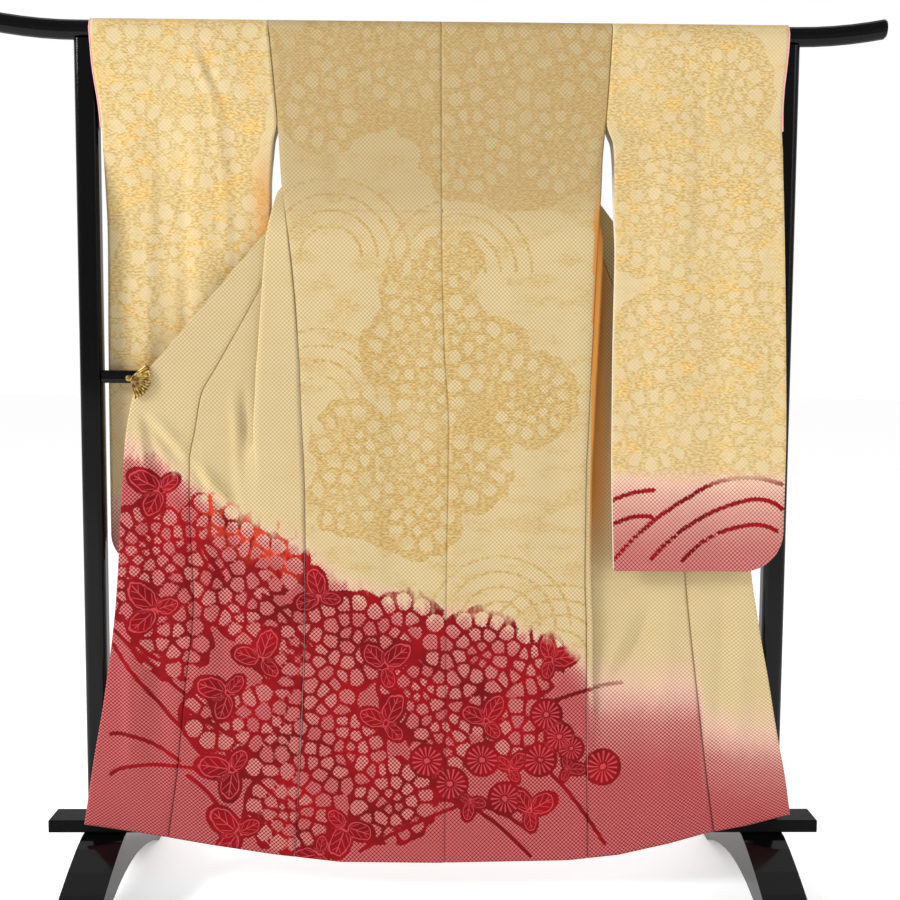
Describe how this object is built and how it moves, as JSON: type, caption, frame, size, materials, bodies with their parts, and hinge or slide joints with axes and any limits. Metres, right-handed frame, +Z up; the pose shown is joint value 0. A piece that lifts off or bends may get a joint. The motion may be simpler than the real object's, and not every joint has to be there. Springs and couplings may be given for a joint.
{
  "type": "furisode kimono on a kimono stand",
  "caption": "Long-sleeved silk kimono hung back to the viewer over the top bar of a lacquered stand, with its fronts held open to both sides by two fan-shaped clips.",
  "frame": {"origin": "on the floor under the middle of the stand", "axes": "+Z up, +X along the top bar to the viewer's right, +Y away from the side where the kimono's back shows"},
  "size_m": [1.716, 0.544, 1.7242],
  "materials": {
    "shibori_silk": "tie-dyed silk crepe, cream above and crimson below",
    "lining_edge": "smooth pink silk",
    "lacquer": "glossy black lacquer on wood",
    "board_lacquer": "satin black lacquer on wood",
    "brass": "polished antique brass"
  },
  "bodies": {
    "root": {"body_left": "shibori_silk", "okumi_left": "shibori_silk", "collar_left": "shibori_silk", "sleeve_left": "shibori_silk", "cuff_edge_left": "lining_edge", "post_left": "lacquer", "foot_left": "lacquer", "arm_left": "lacquer", "clip_front_left": "brass", "clip_back_left": "brass", "clip_pin_left": "brass", "body_right": "shibori_silk", "okumi_right": "shibori_silk", "collar_right": "shibori_silk", "sleeve_right": "shibori_silk", "cuff_edge_right": "lining_edge", "post_right": "lacquer", "foot_right": "lacquer", "arm_right": "lacquer", "clip_front_right": "brass", "clip_back_right": "brass", "clip_pin_right": "brass", "top_bar": "lacquer", "base_board": "board_lacquer"}
  },
  "joints": []
}
